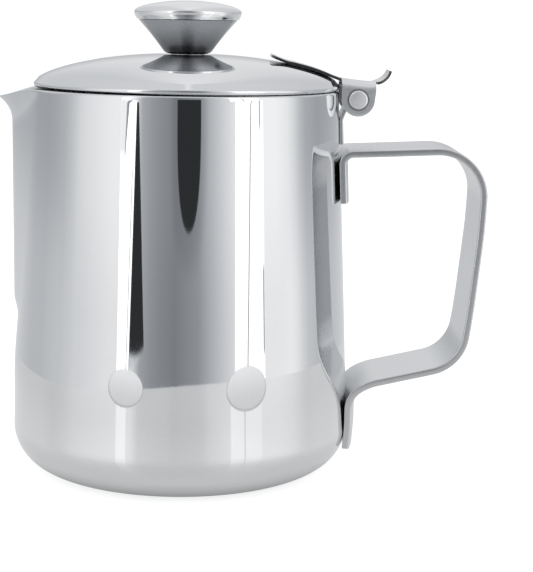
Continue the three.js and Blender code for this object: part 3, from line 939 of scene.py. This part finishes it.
def make_world():
    """The studio that lights the jug and that its steel mirrors; the camera sees plain white."""
    world = bpy.data.worlds.new("studio")
    bpy.context.scene.world = world
    world.use_nodes = True
    tree = world.node_tree
    tree.nodes.clear()
    x, y, z = separate(tree, coordinates(tree, "Generated"))
    degrees = 180 / math.pi
    forward = math_node(tree, "MULTIPLY", y, -1.0)
    azimuth = math_node(tree, "MULTIPLY", math_node(tree, "ARCTAN2", x, forward), degrees)
    turned_away = math_node(tree, "ABSOLUTE", azimuth)
    elevation = math_node(tree, "MULTIPLY", math_node(tree, "ARCSINE", z), degrees)

    light = wall_light(tree, azimuth, turned_away, elevation)
    for panel in PANELS:
        light = with_panel(tree, light, azimuth, elevation, panel)
    light = with_opening(tree, light, azimuth, elevation)
    light = with_ceiling(tree, light, turned_away, elevation)

    studio = tree.nodes.new("ShaderNodeBackground")
    put(tree, blend_colour(tree, light, COOL, WHITE), studio.inputs["Color"])
    put(tree, light, studio.inputs["Strength"])
    white = tree.nodes.new("ShaderNodeBackground")
    white.inputs["Color"].default_value = WHITE
    path = tree.nodes.new("ShaderNodeLightPath")
    mix = tree.nodes.new("ShaderNodeMixShader")
    tree.links.new(path.outputs["Is Camera Ray"], mix.inputs[0])
    tree.links.new(studio.outputs[0], mix.inputs[1])
    tree.links.new(white.outputs[0], mix.inputs[2])
    out = tree.nodes.new("ShaderNodeOutputWorld")
    tree.links.new(mix.outputs[0], out.inputs["Surface"])


# The table top as the polished steel sees it, in metres. Its glow is a product of soft steps:
# distance or X from and to, result before and after.
TABLE_AT = (0.020, -0.040)
TABLE_HALF = (0.238, 0.252)
JUG_SHADOW_ON_TABLE = (0.036, 0.054, 0.14, 0.56)      # painted shadow under the edge of the jug
TABLE_FAR = (0.12, 0.20, 1.0, 0.90)
TABLE_LEFT = (-0.15, -0.04, 0.84, 1.0)
TABLE_RIGHT = (0.07, 0.13, 1.0, 0.90)
FLOOR_HALF = 4.0
# The heights keep the discs apart: floor, table top, rim and foot of a lamp.
FLOOR_Z, TABLE_Z, RIM_DISC_Z, FOOT_DISC_Z = -0.0004, -0.0002, 0.0, 0.0002
# The round white feet of the two lamps: side, centre, radius.
LAMP_FEET = (
    ("left", (-0.147, -0.232), 0.053),
    ("right", (0.181, -0.201), 0.061),
)
LAMP_RIM = 0.002                            # width of the darker rim
FOOT_GLOW = (0.215, 0.34, 0.69, 0.93)       # lighter away from the jug


def stage_material(name, diffuse, gloss, rough, glow=0.0):
    material = bpy.data.materials.new(name)
    material.use_nodes = True
    shader = material.node_tree.nodes["Principled BSDF"]
    shader.inputs["Base Color"].default_value = (diffuse, diffuse, diffuse, 1)
    shader.inputs["Roughness"].default_value = rough
    shader.inputs["Specular IOR Level"].default_value = gloss
    shader.inputs["Emission Color"].default_value = WHITE
    shader.inputs["Emission Strength"].default_value = glow
    return material


def set_glow(tree, glow):
    put(tree, glow, tree.nodes["Principled BSDF"].inputs["Emission Strength"])


def distance(tree, where):
    """How far a point is from the jug's axis, at floor level."""
    node = tree.nodes.new("ShaderNodeVectorMath")
    node.operation = "LENGTH"
    tree.links.new(where, node.inputs[0])
    return node.outputs["Value"]


def disc(name, centre, half_x, half_y, z, material):
    """A flat round or oval sheet that belongs to the stage."""
    ring = [
        (centre[0] + half_x * math.cos(a), centre[1] + half_y * math.sin(a), z)
        for a in steps(0.0, 2 * math.pi, 0.04)[:-1]
    ]
    mesh = bpy.data.meshes.new(name)
    mesh.from_pydata(ring, [], [tuple(range(len(ring)))])
    mesh.materials.append(material)
    obj = bpy.data.objects.new(name, mesh)
    bpy.context.scene.collection.objects.link(obj)
    return obj


def only_in_reflections(obj):
    obj.visible_camera = False
    obj.visible_diffuse = False
    obj.visible_shadow = False


def make_floor():
    """The floor the camera sees; the steel mirrors the table top instead."""
    material = stage_material("floor", 0.6, 0.0, 1.0, 0.75)
    floor = disc("floor", (0, 0), FLOOR_HALF, FLOOR_HALF, FLOOR_Z, material)
    floor.visible_glossy = False


def make_table():
    material = stage_material("table_top", 0.10, 0.55, 0.08)
    tree = material.node_tree
    where = coordinates(tree, "Object")
    reach = distance(tree, where)
    across = separate(tree, where)["X"]
    glow = ease(tree, reach, *JUG_SHADOW_ON_TABLE)
    glow = math_node(tree, "MULTIPLY", glow, ease(tree, reach, *TABLE_FAR))
    glow = math_node(tree, "MULTIPLY", glow, ease(tree, across, *TABLE_LEFT))
    glow = math_node(tree, "MULTIPLY", glow, ease(tree, across, *TABLE_RIGHT))
    set_glow(tree, glow)
    only_in_reflections(disc("table_top", TABLE_AT, *TABLE_HALF, TABLE_Z, material))


def make_lamp_feet():
    rim = stage_material("lamp_rim", 0.1, 0.0, 1.0, 0.46)
    foot = stage_material("lamp_foot", 0.1, 0.0, 1.0)
    tree = foot.node_tree
    set_glow(tree, ease(tree, distance(tree, coordinates(tree, "Object")), *FOOT_GLOW))
    for side, centre, r in LAMP_FEET:
        inner = r - LAMP_RIM
        only_in_reflections(disc("lamp_rim_" + side, centre, r, r, RIM_DISC_Z, rim))
        only_in_reflections(disc("lamp_foot_" + side, centre, inner, inner, FOOT_DISC_Z, foot))


def make_camera():
    data = bpy.data.cameras.new("camera")
    data.lens = LENS
    data.sensor_width = SENSOR
    data.clip_start = 0.01
    data.clip_end = 20
    camera = bpy.data.objects.new("camera", data)
    bpy.context.scene.collection.objects.link(camera)
    camera.matrix_world = (
        Matrix.Translation(Vector(CAMERA_AT) * MM)
        @ Matrix.Rotation(-math.radians(CAMERA_YAW), 4, "Z")
        @ Matrix.Rotation(math.radians(90 - CAMERA_PITCH), 4, "X")
        @ Matrix.Rotation(math.radians(CAMERA_ROLL), 4, "Z")
    )
    bpy.context.scene.camera = camera


make_world()
make_floor()
make_table()
make_lamp_feet()
make_camera()
bpy.context.scene.view_settings.view_transform = "Standard"
